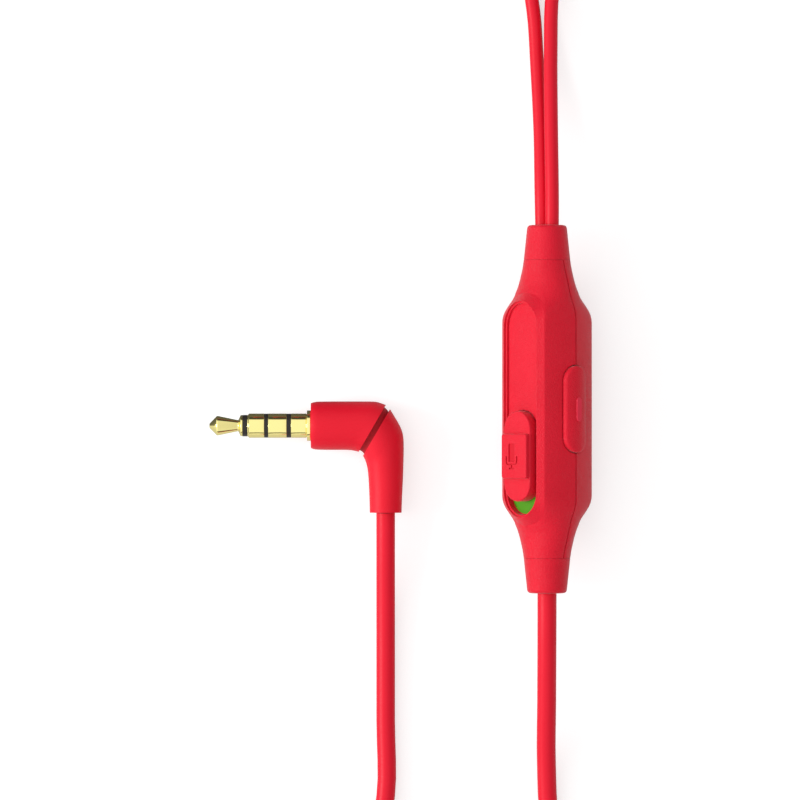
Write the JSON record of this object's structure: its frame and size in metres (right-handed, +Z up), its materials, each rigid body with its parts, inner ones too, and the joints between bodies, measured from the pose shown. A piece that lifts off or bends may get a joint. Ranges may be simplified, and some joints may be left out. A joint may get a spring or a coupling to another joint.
{
  "type": "wired earphones",
  "caption": "In-ear wired earphones laid flat: in-line remote with a sliding mute switch and a side call button, right-angle jack plug, coiled cords.",
  "frame": {"origin": "on the resting surface, under the middle of the box round the remote and the two earpieces", "axes": "+Y along the remote towards the earpieces, +Z up from the surface, -X the way the plug points"},
  "size_m": [0.0571, 0.231, 0.013],
  "materials": {
    "shell": "fine spark-eroded texture",
    "soft_red": "smooth satin elastomer",
    "cord": "smooth satin jacket",
    "green": "smooth",
    "grey_plastic": "smooth",
    "ivory_plastic": "smooth",
    "black_plastic": "smooth",
    "steel": "plated",
    "board": "solder mask",
    "foam": "soft foam",
    "gold": "polished gold plate",
    "strap": "matte soft strap",
    "silicone": "matte silicone"
  },
  "bodies": {
    "earphones": {"remote_front_shell": "shell", "remote_rear_shell": "shell", "upper_boot": "soft_red", "lower_boot": "soft_red", "slider_track": "shell", "green_indicator": "green", "slide_switch": "steel", "circuit_board": "board", "push_switch": "steel", "microphone": "steel", "microphone_gasket": "foam", "plug_tip": "gold", "plug_insulator": "black_plastic", "plug_ring_1": "gold", "plug_ring_2": "gold", "plug_sleeve": "gold", "elbow_core": "soft_red", "elbow_housing": "soft_red", "elbow_boot": "soft_red", "left_lead": "cord", "left_coil": "cord", "left_lead_end": "cord", "right_lead": "cord", "right_coil": "cord", "right_lead_end": "cord", "main_cord_upper": "cord", "main_coil": "cord", "main_cord_lower": "cord", "left_tie": "strap", "right_tie": "strap", "main_tie": "strap", "left_front_housing": "shell", "left_back_cover": "shell", "left_driver": "steel", "left_nozzle_mesh": "steel", "left_ear_tip": "silicone", "left_ear_boot": "soft_red", "right_front_housing": "shell", "right_back_cover": "shell", "right_driver": "steel", "right_nozzle_mesh": "steel", "right_ear_tip": "silicone", "right_ear_boot": "soft_red"},
    "mute_slider": {"mute_slider": "shell", "slider_carrier": "grey_plastic", "switch_lever": "ivory_plastic"},
    "call_button": {"call_button": "shell", "switch_plunger": "ivory_plastic"}
  },
  "joints": [
    {"name": "mute_slide", "type": "slide", "parent": "earphones", "child": "mute_slider", "axis": [0, -1, 0], "range_m": [0, 0.0018]},
    {"name": "call_press", "type": "slide", "parent": "earphones", "child": "call_button", "axis": [-0.6947, 0, -0.7193], "range_m": [0, 0.0004], "stiffness_N_per_m": 600, "springref_m": -0.0002}
  ]
}
